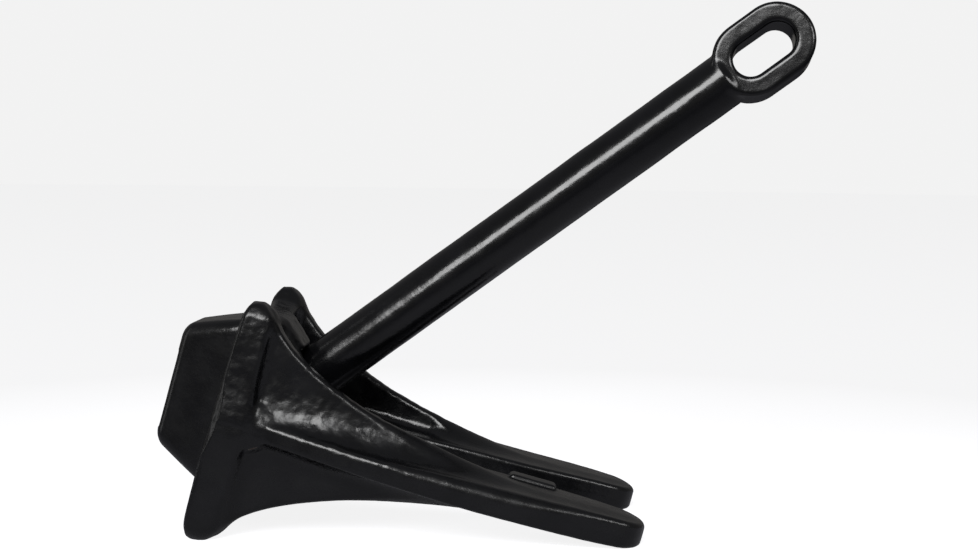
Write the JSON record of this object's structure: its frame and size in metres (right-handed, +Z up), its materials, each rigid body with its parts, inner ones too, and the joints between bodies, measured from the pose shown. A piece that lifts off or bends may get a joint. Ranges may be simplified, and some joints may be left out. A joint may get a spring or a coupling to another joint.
{
  "type": "boat anchor",
  "caption": "Stockless boat anchor with parallel flukes, horned palms and a swinging shank with a slotted eye, dip coated in black vinyl.",
  "frame": {"origin": "on the floor, under the middle of the anchor's box as it stands on its lower horns and fluke tips with the shank raised", "axes": "+X from the crown towards the fluke tips and the eye, +Y across the flukes along the crown pin, +Z up"},
  "size_m": [0.3444, 0.1328, 0.2779],
  "materials": {
    "cast_iron": "bare sand-cast iron, seen only inside the crown",
    "black_vinyl": "thick glossy black dip coat with a lightly hammered surface",
    "pin_steel": "plain round bar"
  },
  "bodies": {
    "head": {"head_casting": "cast_iron", "head_coating": "black_vinyl", "crown_pin": "pin_steel"},
    "shank": {"shank": "cast_iron", "shank_coating": "black_vinyl"}
  },
  "joints": [
    {"name": "shank_swing", "type": "hinge", "parent": "head", "child": "shank", "pos_m": [-0.11725, 0, 0.05855], "axis": [0, 1, 0], "range_deg": [0, 102.8]}
  ]
}
